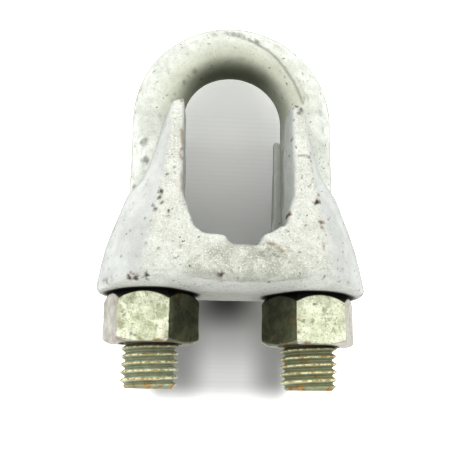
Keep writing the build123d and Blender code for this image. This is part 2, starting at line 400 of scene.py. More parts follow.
def build_u_bolt():
    rows = bar_rows()
    count = len(rows) - len(TURN_ROWS)
    around = np.arange(BAR_SIDES) * 2 * np.pi / BAR_SIDES
    lead = rows[len(TURN_ROWS):] - rows[:count]
    along = rows[:count][:, None] + lead[:, None] * (around / (2 * np.pi))[None, :]
    angle = np.broadcast_to(around, along.shape).ravel()    # 0 is the outside of the loop
    along = along.ravel()

    on_left = along < CROWN_Z
    on_right = along > CROWN_Z + BEND_LENGTH
    turned = np.clip((along - CROWN_Z) / X_LEG, 0, np.pi)
    out_x, out_z = -np.cos(turned), np.sin(turned)
    axis_z = np.where(on_left, along,
                      np.where(on_right, BAR_LENGTH - along, CROWN_Z + X_LEG * out_z))
    threaded = (on_left | on_right) & (axis_z < THREAD_TOP)
    radius = np.where(threaded, thread_radius(axis_z, angle, on_left), BAR_R)
    outward = np.stack([np.cos(angle) * out_x, -np.sin(angle), np.cos(angle) * out_z], 1)
    axis = np.stack([X_LEG * out_x, np.zeros_like(along), axis_z], 1)
    pos = axis + radius[:, None] * outward

    bar = step(axis_z, THREAD_TOP - 0.5, THREAD_TOP + 3)
    crest = step(radius, 9.1, 9.45) * (1 - bar)
    worn = step(noise(pos, 2.1, 9), 0.28, 0.75) * crest
    bumps = relief(pos, (0.10, 15, 1), (0.06, 6, 2), (0.030, 2.2, 3), (0.016, 1.0, 4))
    skin = Skin(pos, bumps * bar + (0.016 * noise(pos, 1.3, 5) - 0.16 * worn) * (1 - bar))
    front = pos[:, 1] < 0
    bend_angle = np.degrees(np.arctan2(pos[:, 0], pos[:, 2] - CROWN_Z))
    mark_run(skin, front, bend_angle)
    mark_bar(skin, front)
    skin.pits(seed=5, where=bar > 0.9, count=130, radius=(0.35, 0.9), depth=(0.05, 0.16),
              tone=(0.15, 0.6), power=2)
    # scale left by the forging: long faint marks along the bar
    streaks = np.stack([along / 6.0, angle * 5.5, np.zeros_like(along)], 1)
    skin.dent(step(noise(streaks, 1.0, 31), 0.45, 0.8) * bar, depth=0.05, tone=0.16)
    rust_noise = noise(pos, 3.0, 11)
    end = (1 - step(axis_z, 0.4, 2.6)) * step(rust_noise, -0.15, 0.45)
    skin.stain(end * 0.9 + 0.55 * step(rust_noise, 0.35, 0.75) * (1 - bar)
               + 0.5 * worn * step(rust_noise, 0, 0.3))

    pos = pos + skin.shift[:, None] * outward
    mesh = bpy.data.meshes.new("u_bolt_bar")
    mesh.from_pydata((pos * MM).tolist(), [], bar_faces(count))
    mesh.validate()
    mesh.update()
    ob = link_object("u_bolt_bar", mesh)

    x = pos[:, 0]
    bend = step(axis_z, 84, 104)
    inward = -np.cos(angle)
    # painted shade on the inner side of the bar: strongest on the bend, weaker to the right and
    # down its flanks
    inner = (step(inward, 0.36 + 0.16 * step(x, -4, 18) * bend, 1.0) * (0.30 + 0.70 * bend)
             * (1 - 0.20 * step(x, 4, 20) * bend)
             * (1 - 0.42 * step(np.abs(bend_angle), 28, 72) * bend) * bar)
    # band of shade on the thread around the lower end of the nuts
    shade = step(axis_z, 12.0, 14.2) * (1 - step(axis_z, 14.5, 15.8)) * (1 - bar) * 0.34
    add_attributes(
        # groove: painted shade in the thread roots
        ob, dark=skin.dark, crest=crest, groove=(1 - step(radius, 8.1, 9.3)) * (1 - bar),
        rust=skin.rust, thread=1 - bar, shade=shade,
        # olive: painted shade on the inward half of the bend; inner: painted shade on its inner
        # side
        olive=step(inward, -0.45, 0.55) * bend * bar, inner=inner)
    close_leg_ends(ob)
    shade_smooth(ob)
    return ob


# ------------------------------------------------------------------ saddle
# single marks on the front face: x, z, radius, depth, darkness, rust
SADDLE_MARKS = [
    (-24.6, 60.4, 0.9, 0.20, 0.80, 0.1), (-25.0, 58.3, 1.0, 0.18, 0.62, 0.1),
    (-24.4, 56.6, 0.8, 0.14, 0.62, 0), (-26.3, 54.5, 1.1, 0.16, 0.60, 0),
    (-27.1, 55.9, 0.8, 0.12, 0.5, 0), (-22.2, 54.1, 0.55, 0.22, 0.95, 0),
    (-21.2, 54.5, 0.35, 0.12, 0.7, 0), (-23.1, 66.3, 0.55, 0.12, 0.6, 0),
    (-20.7, 68.9, 0.6, 0.10, 0.45, 0), (-20.4, 67.2, 0.5, 0.08, 0.35, 0),
    (-19.0, 92.9, 0.5, 0.12, 0.6, 0.6), (-12.6, 39.3, 0.5, 0.1, 0.35, 0),
    (-18.0, 42.6, 0.6, 0.1, 0.4, 0), (-19.6, 38.9, 0.5, 0.12, 0.7, 0),
    (-18.6, 39.3, 0.4, 0.1, 0.6, 0), (-28.3, 33.6, 0.9, 0.2, 0.85, 0),
    (-27.9, 32.4, 0.7, 0.15, 0.8, 0), (-33.4, 32.6, 1.1, 0.2, 0.9, 0.5),
    (-31.6, 32.9, 0.9, 0.15, 0.8, 0.4), (-29.8, 32.0, 0.8, 0.14, 0.8, 0),
    (-27.4, 32.2, 0.5, 0.1, 0.8, 0), (-5.6, 34.2, 0.9, 0.16, 0.78, 0.25),
    (-6.6, 34.6, 0.6, 0.1, 0.6, 0.2), (-0.4, 33.7, 0.4, 0.08, 0.4, 0),
    (7.6, 44.0, 0.7, 0.1, 0.35, 0), (9.2, 42.4, 1.3, 0.06, 0.22, 0),
    (6.4, 41.0, 1.1, 0.06, 0.22, 0), (11.8, 40.1, 0.6, 0.1, 0.4, 0.1),
    (15.9, 54.4, 0.6, 0.16, 0.6, 0.8), (25.2, 58.8, 1.0, 0.24, 0.85, 0.55),
    (24.4, 58.2, 0.5, 0.15, 0.6, 0.3), (26.0, 51.9, 0.7, 0.12, 0.45, 0.6),
    (26.2, 50.4, 0.5, 0.12, 0.4, 0.6), (20.3, 67.0, 0.5, 0.1, 0.5, 0),
    (21.8, 67.0, 0.45, 0.1, 0.5, 0), (22.9, 64.0, 0.6, 0.08, 0.35, 0),
    (23.2, 74.4, 0.5, 0.12, 0.65, 0.2), (23.6, 72.9, 0.4, 0.1, 0.5, 0),
    (24.0, 69.5, 0.4, 0.1, 0.4, 0), (19.6, 93.0, 1.1, 0.25, 0.6, 0.1),
    (21.0, 91.6, 1.2, 0.25, 0.6, 0.1), (20.3, 90.2, 0.7, 0.2, 0.5, 0.0),
    (18.6, 92.0, 0.5, 0.1, 0.4, 0), (18.4, 87.7, 0.35, 0.1, 0.5, 0),
    (17.9, 81.1, 0.4, 0.1, 0.6, 0.1), (17.4, 76.5, 0.35, 0.1, 0.5, 0),
    (9.9, 32.8, 0.7, 0.12, 0.65, 0), (17.2, 32.4, 0.6, 0.1, 0.6, 0),
    (18.6, 32.4, 0.5, 0.1, 0.55, 0), (26.6, 34.3, 0.6, 0.1, 0.55, 0),
    (33.0, 37.5, 0.6, 0.06, 0.3, 0), (31.5, 40.2, 0.5, 0.06, 0.3, 0),
    (2.4, 32.6, 0.4, 0.1, 0.5, 0), (-9.5, 32.2, 0.6, 0.1, 0.7, 0),
    (-16.0, 32.4, 0.5, 0.1, 0.6, 0),
]
# height above the underside, and distance from the middle of the left horn's inner edge
HORN_EDGE_Z = [22.8, 30, 43, 60]
HORN_EDGE_X = [15.4, 17.9, 18.2, 18.7]
# lines on the front face: x, z
NOTCH_RUST = [(8.6, 44.3), (10.8, 43.9), (12.4, 42.7), (13.8, 41.0)]
RIGHT_RUST = [(25.6, 58.5), (26.2, 52.0), (26.3, 47.0), (26.9, 40.0), (27.4, 35.0)]
SCRATCH = [(19.6, 74.6), (21.4, 74.9), (23.2, 74.2)]


def raise_patches(skin, down, face_y):
    """Raised patch low on the front and rear faces; gives its mask and the lip below."""
    x, y, z = skin.pos.T
    patch = np.zeros(len(x))
    lip = np.zeros(len(x))
    top = 45.2 - 9.0 * (np.abs(x - 2.5) / 19.0) ** 3.5 + 0.8 * noise(skin.pos, 6, 49)
    reach = 1 - ((x - 2.0) / 21.0) ** 2
    edge = 27.9 - 5.0 * np.clip(reach, 0, 1) ** 0.8 + 0.5 * noise(skin.pos, 6, 47)
    below = (z < 34.5) & (down > 0.35)
    on_height = step(z - CREASE_Z, 0, 0.8) * step(top - z, -1.0, 2.2)
    uneven = 1 + 0.3 * noise(skin.pos, 5, 46)
    mottle = 0.7 + 0.5 * noise(skin.pos, 2.5, 48)
    broken = skin.patches(3.0, 56, -0.3, 0.4)
    for side in (-1, 1):
        inside = np.where(below, step(y * side - edge, 0, 1.0), on_height)
        inside = inside * step(reach, 0.0, 0.12)
        on = (y * side > face_y - 1.4) | below
        skin.shift += 0.42 * inside * on * uneven
        patch = np.maximum(patch, inside * on)
        # painted shadow: a dark line along the patch's edge on the underside
        rim = ridge(y * side - edge + 0.3, 0.7) * below * step(reach, 0.0, 0.2)
        skin.darken(0.34 * rim * mottle)
        lip = np.maximum(lip, 0.42 * inside * below) - 0.12 * rim
        top_rim = ridge(top - z, 0.6) * on * step(x, -19, -16) * fall(x, 19, 22)
        skin.darken(0.16 * top_rim * broken)
    return patch, lip


def mark_saddle(skin):
    x, y, z = skin.pos.T
    ragged = 1 + 0.75 * noise(skin.pos, 0.9, 50) + 0.35 * noise(skin.pos, 2.0, 57)
    for mark_x, mark_z, radius, depth, tone, rust in SADDLE_MARKS:
        mark_z = max(mark_z, CREASE_Z)
        mark_y = -np.interp(mark_z, FACE_Z, FACE_Y)
        away = np.hypot(x - mark_x, z - mark_z) + np.clip(np.abs(y - mark_y) - 6, 0, 99)
        away = away * ragged
        skin.dent((1 - step(away, radius * 0.25, radius)) * (y < 0), depth, tone)
        skin.stain(rust * (1 - step(away, radius * 0.6, radius * 1.5)) * (y < 0))


def streak_saddle(skin, front, face_y):
    """Rust lines, a scratch and a smear on the front face."""
    x, y, z = skin.pos.T
    # front corner of the left horn's inner edge
    edge_x = np.interp(z - SADDLE_Z, HORN_EDGE_Z, HORN_EDGE_X)
    edge = ridge(np.hypot(x + edge_x, y + face_y), 0.75) * step(z, 57, 62) * fall(z, 82, 86)
    skin.stain(0.75 * (edge * skin.patches(3.2, 51, -0.45, 0.1)))
    # upright oval ring on the left horn
    oval = np.abs(np.hypot((x + 18.3) / 0.8, (z - 73.8) / 1.7) - 1)
    skin.stain(0.6 * (1 - step(oval, 0.15, 0.45)) * front)
    # beside the notch, and down the right of the face
    line = ridge(skin.line_distance(NOTCH_RUST), 0.5)
    skin.stain(0.7 * line * front * skin.patches(1.6, 52, -0.5, 0.2))
    line = ridge(skin.line_distance(RIGHT_RUST), 0.45)
    skin.stain(0.5 * line * (y < -20) * skin.patches(2.0, 53, -0.1, 0.35))
    # scratch across the right horn
    away = skin.line_distance(SCRATCH)
    skin.shift -= 0.08 * ridge(away, 0.3) * front
    skin.darken(0.4 * ridge(away, 0.35) * front)
    # smeared zinc right of the notch
    away = np.hypot((x - 8.5) / 3.6, (z - 41.0) / 2.6)
    skin.darken(0.20 * (1 - step(away, 0.5, 1.1)) * front * skin.patches(1.3, 54, -0.3, 0.3))


def build_saddle():
    ob = remeshed("saddle", "saddle_forging", 0.56)
    relax(ob, 6)
    # generous radius along the lower edges of the two faces
    x, y, z = positions(ob).T
    relax(ob, 26, step(np.abs(y), 22.5, 25.5) * fall(z, 34.5, 37.5) * fall(np.abs(x), 34, 40))

    pos, normal = positions(ob), vertex_normals(ob)
    x, y, z = pos.T
    down = -normal[:, 2]
    face_y = np.interp(z, FACE_Z, FACE_Y)
    on_face = step(np.abs(normal[:, 1]), 0.76, 0.93) * (np.abs(y) > face_y - 1.6)
    on_face = np.maximum(on_face, 0.55 * (step(down, 0.1, 0.6) * (z < 36)))
    near_leg = np.minimum(np.hypot(x - X_LEG, y), np.hypot(x + X_LEG, y))
    in_hole = fall(near_leg, 10.3, 11.0)
    under = (z < 31.6) & (down > 0.9)

    shift = relief(pos, (0.17, 17, 41), (0.10, 7, 42), (0.05, 2.6, 43))
    shift += relief(pos, (0.032, 1.25, 44), (0.02, 0.8, 45)) * (0.35 + 0.65 * on_face)
    skin = Skin(pos, shift * (1 - 0.8 * in_hole))
    patch, lip = raise_patches(skin, down, face_y)
    mark_saddle(skin)
    streak_saddle(skin, y < -face_y + 1.2, face_y)
    skin.pits(seed=11, where=in_hole < 0.1, count=330, radius=(0.3, 0.8),
              depth=(0.05, 0.16), tone=(0.1, 0.62))
    # painted shade: faint darkening of the faces turned down under the middle, and dark patches
    # along the lower edge
    skin.darken(0.11 * (step(down, 0.35, 0.75) * (z < 35) * fall(np.abs(x), 14, 24)))
    low = fall(z, 31.6, 35.0) * (np.abs(down) < 0.9)
    skin.darken(0.55 * low * skin.patches(1.8, 55, 0.25, 0.6))

    # keep the underside level where the nuts bear
    shift = np.where(under, np.minimum(skin.shift, 0) * 0.4 - 0.015, skin.shift)
    shift = np.where(under & (near_leg > 19), shift + lip * step(near_leg, 19, 22), shift)
    moved = pos + normal * shift[:, None]
    moved[:, 2] = np.where(under & (near_leg < 19),
                           np.maximum(moved[:, 2], SADDLE_Z + 0.004), moved[:, 2])
    set_positions(ob, moved)
    # painted shade on the downward faces of the underside near the middle, kept in the hole mask,
    # which also darkens the bolt holes below the horns as painted shade
    shade = 0.25 * step(down, 0.80, 0.99) * (z < 34) * step(y, -16, 12)
    add_attributes(
        ob, dark=skin.dark, rust=skin.rust, grain=on_face, lens=patch,
        hole=in_hole * (1 - step(z, 70, 80)) + shade,
        # ring: painted shadow on the underside around each nut
        ring=(1 - step(near_leg, 14.9, 16.9)) * step(down, 0.75, 0.95) * (z < 34))
    shade_smooth(ob)
    return ob


# ------------------------------------------------------------------ nuts
def build_nut(node, name, side, seed, dull_faces, pale_faces):
    """side is -1 left, 1 right; faces are degrees from the front towards +X."""
    centre = np.array([side * X_LEG, 0, 0])
    ob = remeshed(node, name, 0.25)
    relax(ob, 2)
    # the upper chamfer is worn wider than the lower one
    pos = positions(ob)
    local = pos - centre
    radius = np.hypot(local[:, 0], local[:, 1])
    limit = 13.8 + 0.95 * (SADDLE_Z - pos[:, 2])
    pull = np.where((radius > limit) & (radius > 12), limit / np.maximum(radius, 1), 1.0)
    pos[:, 0] = centre[0] + local[:, 0] * pull
    pos[:, 1] = local[:, 1] * pull
    set_positions(ob, pos)
    relax(ob, 1)

    pos, normal = positions(ob), vertex_normals(ob)
    local = pos - centre
    x, y, z = local.T
    radius = np.hypot(x, y)
    bore = fall(radius, 10.4, 10.9)
    upright = np.clip(np.hypot(normal[:, 0], normal[:, 1]) * 1.5 - 0.5, 0, 1) * (1 - bore)
    skin = Skin(local, relief(local, (0.06, 7, seed), (0.035, 2.8, seed + 1),
                              (0.022, 1.1, seed + 2)))
    skin.pits(seed=seed, where=radius > 12.5, count=46, radius=(0.3, 0.9),
              depth=(0.04, 0.14), tone=(0.15, 0.7), squash=(0.7, 2.0))
    # corners knocked by wrenches
    corner = step(radius, 15.4, 16.3)
    skin.shift -= corner * (0.12 + 0.16 * np.clip(noise(local, 3.2, seed + 5), -0.5, 1))
    level = (np.abs(normal[:, 2]) > 0.85) | (bore > 0.02)
    shift = np.where(level, np.minimum(skin.shift, 0) * 0.4 - 0.01, skin.shift)
    shift = np.where(bore > 0.5, -0.02, shift)
    moved = pos + normal * shift[:, None]
    moved[:, 2] = np.clip(moved[:, 2], *NUT_Z)
    set_positions(ob, moved)

    rim = np.maximum(fall(z, 14.9, 15.9), 0.5 * step(z, 30.0, 30.8)) * (radius > 11.4)
    skin.stain(rim * skin.patches(3.4, seed + 7, 0.15, 0.5)
               + 0.55 * upright * skin.patches(5.0, seed + 8, 0.5, 0.8))
    skin.stain(corner * skin.patches(3.0, seed + 9, -0.1, 0.4) * 0.4)

    # the six faces are darkened differently: painted shade, darkest on the face towards the other
    # nut, with some dirt
    angle = np.degrees(np.arctan2(x, -y))

    def on_face(face):
        return 1 - step(np.abs((angle - face + 180) % 360 - 180), 28.5, 30.5)

    dull = np.zeros(len(pos))
    for face, amount in dull_faces:
        dull = np.maximum(dull, amount * on_face(face))
    # painted light: the pale faces and the underside are painted pinkish grey
    pale = np.zeros(len(pos))
    for face in pale_faces:
        pale = np.maximum(pale, on_face(face))
    underside = step(-normal[:, 2], 0.25, 0.6) * (radius > 11.0)
    pale = np.maximum(pale * upright, underside * (1 - 0.75 * dull))
    add_attributes(
        # inside: painted shade in the bore
        ob, dark=skin.dark, rust=skin.rust, side=upright, inside=bore,
        dull=dull * (1 - bore), pale=pale * (1 - bore),
        # top: painted shadow on the faces turned up towards the saddle
        top=step(normal[:, 2], 0.2, 0.6) * (1 - bore))
    shade_smooth(ob)
    return ob


# ------------------------------------------------------------------ shader tools
def feed(socket, value):
    """Link a socket, or set it to a number or an (r, g, b) colour."""
    if isinstance(value, bpy.types.NodeSocket):
        socket.id_data.links.new(value, socket)
    elif socket.type == "RGBA":
        socket.default_value = (*value, 1.0)
    else:
        socket.default_value = value


class Shader:
    """A material and short ways to add nodes to it."""

    def __init__(self, name):
        self.material = bpy.data.materials.new(name)
        self.material.use_nodes = True
        self.tree = self.material.node_tree
        self.tree.nodes.clear()
        self.place = self.add("TexCoord").outputs["Object"]

    def add(self, kind, inputs=None, **settings):
        node = self.tree.nodes.new("ShaderNode" + kind)
        for name, value in settings.items():
            setattr(node, name, value)
        for key, value in (inputs or {}).items():
            feed(node.inputs[key], value)
        return node

    def attr(self, name):
        return self.add("Attribute", attribute_name=name).outputs["Fac"]

    def noise(self, mm, seed, detail=3, rough=0.6, distortion=0.0):
        mapping = self.add("Mapping", {
            "Vector": self.place, "Location": (0.013 * (seed + 1), 0.029 * seed, 0.017 * seed)})
        return self.add("TexNoise", {
            "Vector": mapping.outputs["Vector"], "Scale": 1000.0 / mm, "Detail": detail,
            "Roughness": rough, "Distortion": distortion}).outputs["Fac"]

    def span(self, value, edges, to=(0.0, 1.0)):
        """Smooth change from to[0] at edges[0] to to[1] at edges[1]."""
        return self.add("MapRange", {
            "Value": value, "From Min": edges[0], "From Max": edges[1],
            "To Min": to[0], "To Max": to[1]}, interpolation_type="SMOOTHSTEP").outputs["Result"]

    def patches(self, edges, to=(0.0, 1.0), **noise):
        return self.span(self.noise(**noise), edges, to)

    def dots(self, mm, seed, edges, field_mm, field_edges):
        """Small dots, gathered in wider fields."""
        return self.times(
            self.patches(mm=mm, seed=seed, detail=2, rough=0.5, edges=edges),
            self.patches(mm=field_mm, seed=seed + 1, detail=2, rough=0.5, edges=field_edges))

    def facing(self, edges):
        """Mask that grows towards the outline of a piece."""
        return self.span(self.add("LayerWeight", {"Blend": 0.5}).outputs["Facing"], edges)

    def math(self, operation, a, b=0):
        return self.add("Math", {0: a, 1: b}, operation=operation).outputs[0]

    def times(self, value, *factors):
        for factor in factors:
            value = self.math("MULTIPLY", value, factor)
        return value

    def plus(self, a, b):
        return self.math("ADD", a, b)

    def minus(self, a, b):
        return self.math("SUBTRACT", a, b)

    def most(self, a, b):
        return self.math("MAXIMUM", a, b)

    def away(self, value, centre):
        return self.math("ABSOLUTE", self.minus(value, centre))

    def length(self, a, b):
        return self.math("SQRT", self.plus(self.times(a, a), self.times(b, b)))

    def line(self, value, gain, offset):
        return self.plus(self.times(value, gain), offset)

    def mix(self, mask, start, end):
        """Colour start where the mask is 0, end where it is 1."""
        return self.add("Mix", {0: mask, 6: start, 7: end}, data_type="RGBA").outputs[2]

    def coat(self, base, mask, colour, amount):
        return self.mix(self.times(mask, amount), base, colour)

    def soil_and_shade(self, base, mm, seed, deep, light, amount):
        """Mottled rust, then grime and the painted shade held in the dark mask, where the piece's
        attributes ask for them.
        """
        rust = self.mix(self.patches(mm=mm, seed=seed, edges=(0.35, 0.65)), deep, light)
        base = self.coat(base, self.attr("rust"), rust, amount)
        return self.mix(self.attr("dark"), base, GRIME_AND_SHADE)

    def soiled_and_shaded(self, amount):
        return self.times(self.most(self.attr("rust"), self.attr("dark")), amount)

    def bump(self, height, strength, distance, normal=None):
        inputs = {"Strength": strength, "Distance": distance * MM, "Height": height}
        if normal is not None:
            inputs["Normal"] = normal
        return self.add("Bump", inputs).outputs["Normal"]

    def finish(self, colour, metallic, rough, normal):
        surface = self.add("BsdfPrincipled", {
            "Base Color": colour, "Metallic": metallic, "Roughness": rough, "Normal": normal})
        self.add("OutputMaterial", {"Surface": surface.outputs["BSDF"]})
        return self.material


# ------------------------------------------------------------------ materials
# dark colour for dirt, and for the painted shade held in the saddle's dark mask
GRIME_AND_SHADE = (0.060, 0.056, 0.044)


def zinc_forging():
    k = Shader("zinc_forging")
    grain = k.attr("grain")
    patch = k.patches(mm=13, seed=0, rough=0.55, edges=(0.36, 0.66))
    mid = k.patches(mm=4.2, seed=1, detail=4, edges=(0.35, 0.68))
    fine = k.noise(mm=0.95, seed=2, rough=0.7)
    tiny = k.noise(mm=0.50, seed=3, detail=2, rough=0.7)
    # zinc: smooth skin, grainy faces, raised patches
    skin = k.mix(patch, (0.765, 0.775, 0.765), (0.69, 0.70, 0.69))
    face = k.mix(patch, (0.80, 0.805, 0.77), (0.735, 0.74, 0.70))
    base = k.mix(grain, skin, face)
    raised = k.mix(k.patches(mm=4.5, seed=11, detail=4, edges=(0.34, 0.66)),
                   (0.73, 0.74, 0.675), (0.49, 0.50, 0.44))
    base = k.coat(base, k.attr("lens"), colour=raised, amount=0.74)
    base = k.coat(base, mid, colour=(0.56, 0.57, 0.53), amount=0.26)
    # dark and light specks, stronger on the grainy faces
    dark_speck = k.times(k.span(fine, edges=(0.50, 0.68)), k.line(grain, gain=0.22, offset=0.12))
    base = k.mix(dark_speck, base, (0.40, 0.40, 0.34))
    light_speck = k.times(k.span(tiny, edges=(0.50, 0.66)), k.line(grain, gain=0.42, offset=0.15))
    base = k.mix(light_speck, base, (0.97, 0.975, 0.935))
    dots = k.dots(mm=1.25, seed=5, edges=(0.68, 0.74), field_mm=8, field_edges=(0.45, 0.62))
    base = k.coat(base, dots, colour=GRIME_AND_SHADE, amount=0.75)
    # painted shade: darker towards the outline
    base = k.coat(base, k.facing(edges=(0.70, 1.0)), colour=(0.36, 0.37, 0.33), amount=0.40)
    base = k.soil_and_shade(base, mm=0.8, seed=8, deep=(0.16, 0.095, 0.05), light=(0.40, 0.22, 0.09),
                  amount=0.78)
    # painted shade in the bolt holes and on the underside near the middle
    base = k.coat(base, k.attr("hole"), colour=(0.22, 0.22, 0.19), amount=0.55)
    # painted shadow: near-black ring around each nut on the underside
    base = k.coat(base, k.attr("ring"), colour=(0.03, 0.03, 0.025), amount=0.95)
    rough = k.patches(mm=3.0, seed=9, edges=(0.3, 0.7), to=(0.58, 0.72))
    rough = k.plus(rough, k.times(k.attr("dark"), 0.2))
    metal = k.minus(0.16, k.soiled_and_shaded(amount=0.16))
    height = k.times(k.plus(k.times(fine, 0.7), k.times(tiny, 0.6)),
                     k.line(grain, gain=0.65, offset=0.35))
    normal = k.bump(height, strength=0.60, distance=0.22)
    normal = k.bump(k.noise(mm=2.4, seed=10), strength=0.35, distance=0.30, normal=normal)
    return k.finish(base, metal, rough, normal)


def thread_colour(k):
    """Grey-green flanks, yellower on the right leg; cream crests with brown patches, the cream a
    painted highlight; roots darkened as painted shade.
    """
    flank = k.mix(k.patches(mm=2.2, seed=24, edges=(0.35, 0.65)),
                  (0.80, 0.84, 0.72), (0.60, 0.64, 0.52))
    x = k.add("SeparateXYZ", {0: k.place}).outputs["X"]
    right = k.span(x, edges=(-0.005, 0.005))
    flank = k.coat(flank, right, colour=(0.50, 0.50, 0.30), amount=0.45)
    # painted shade: darker thread roots
    root = k.coat(flank, k.attr("groove"), colour=(0.30, 0.32, 0.24), amount=0.65)
    # painted highlight: cream on the crests, with brown patches
    crest = k.mix(k.patches(mm=1.5, seed=25, rough=0.65, edges=(0.40, 0.60)),
                  (0.92, 0.90, 0.74), (0.55, 0.45, 0.24))
    thread = k.mix(k.attr("crest"), root, crest)
    return k.mix(k.attr("shade"), thread, (0.05, 0.05, 0.035))


def zinc_bar():
    k = Shader("zinc_bar")
    patch = k.patches(mm=12, seed=20, rough=0.55, edges=(0.35, 0.66))
    mid = k.patches(mm=3.8, seed=21, detail=4, edges=(0.38, 0.70))
    fine = k.noise(mm=0.9, seed=22, rough=0.7)
    tiny = k.noise(mm=0.4, seed=23, detail=2, rough=0.7)
    specks = (0.50, 0.68)   # noise levels between which specks appear
    base = k.mix(patch, (0.89, 0.90, 0.865), (0.79, 0.805, 0.765))
    base = k.coat(base, mid, colour=(0.62, 0.635, 0.58), amount=0.40)
    base = k.coat(base, k.span(fine, specks), colour=(0.42, 0.42, 0.37), amount=0.24)
    base = k.coat(base, k.span(tiny, specks), colour=(0.95, 0.96, 0.92), amount=0.30)
    # painted shade: olive darkening on the inward half of the bend
    base = k.coat(base, k.attr("olive"), colour=(0.60, 0.61, 0.49), amount=0.50)
    dots = k.dots(mm=1.15, seed=26, edges=(0.665, 0.73), field_mm=9, field_edges=(0.40, 0.58))
    base = k.coat(base, dots, colour=GRIME_AND_SHADE, amount=0.6)
    # painted shade: dark inner side of the bend
    base = k.coat(base, k.attr("inner"), colour=(0.115, 0.125, 0.08), amount=0.86)
    # painted shade: darker towards the outline
    base = k.coat(base, k.facing(edges=(0.62, 1.0)), colour=(0.34, 0.355, 0.30), amount=0.62)
    base = k.mix(k.attr("thread"), base, thread_colour(k))
    base = k.soil_and_shade(base, mm=1.1, seed=28, deep=(0.24, 0.12, 0.03), light=(0.66, 0.38, 0.08),
                  amount=0.9)
    rough = k.patches(mm=3.0, seed=29, edges=(0.3, 0.7), to=(0.56, 0.70))
    metal = k.plus(0.16, k.times(k.attr("thread"), 0.3))
    metal = k.minus(metal, k.soiled_and_shaded(amount=0.5))
    height = k.plus(k.times(fine, 0.6), k.times(tiny, 0.5))
    normal = k.bump(height, strength=0.35, distance=0.09)
    normal = k.bump(k.noise(mm=2.6, seed=30), strength=0.35, distance=0.22, normal=normal)
    return k.finish(base, metal, rough, normal)


def zinc_nut(number, second):
    """number names the material and shifts its noises; second is its other zinc colour."""
    k = Shader(f"zinc_nut_{number}")
    patch = k.patches(mm=5.5, seed=40 + number, detail=4, distortion=0.6, edges=(0.36, 0.62))
    mid = k.patches(mm=1.9, seed=41 + number, detail=4, rough=0.65, distortion=0.4,
                    edges=(0.36, 0.64))
    fine = k.noise(mm=0.6, seed=42 + number, rough=0.7)
    base = k.mix(patch, (0.86, 0.88, 0.755), second)
    base = k.coat(base, mid, colour=(0.93, 0.96, 0.84), amount=0.5)
    blots = k.patches(mm=2.6, seed=44 + number, detail=4, rough=0.7, edges=(0.56, 0.68))
    base = k.coat(base, blots, colour=(0.24, 0.235, 0.15), amount=0.5)
    specks = k.span(fine, edges=(0.52, 0.68))
    base = k.coat(base, specks, colour=(0.27, 0.26, 0.18), amount=0.42)
    # painted shade with some dirt: dark olive on the darkened faces, darkest on the face towards
    # the other nut
    dull = k.mix(patch, (0.115, 0.125, 0.065), (0.055, 0.06, 0.03))
    base = k.coat(base, k.attr("dull"), colour=dull, amount=0.88)
    # painted light: pinkish grey on the pale faces and the underside
    pale = k.mix(patch, (0.60, 0.575, 0.545), (0.50, 0.475, 0.45))
    base = k.coat(base, k.attr("pale"), colour=pale, amount=0.85)
    # painted shadow: near-black faces turned up towards the saddle
    base = k.coat(base, k.attr("top"), colour=(0.035, 0.035, 0.028), amount=0.9)
    base = k.soil_and_shade(base, mm=0.9, seed=48 + number, deep=(0.17, 0.09, 0.03),
                  light=(0.42, 0.27, 0.08), amount=0.6)
    # painted shade: near-black bore
    base = k.coat(base, k.attr("inside"), colour=(0.05, 0.05, 0.035), amount=0.92)
    rough = k.patches(mm=1.6, seed=49 + number, edges=(0.3, 0.7), to=(0.30, 0.50))
    metal = k.minus(0.62, k.soiled_and_shaded(amount=0.8))
    coarse = k.noise(mm=1.5, seed=51 + number, detail=4, rough=0.65, distortion=0.5)
    normal = k.bump(k.plus(k.times(fine, 0.7), coarse), strength=0.55, distance=0.26)
    normal = k.bump(k.noise(mm=4.5, seed=53 + number), strength=0.25, distance=0.35,
                    normal=normal)
    return k.finish(base, metal, rough, normal)


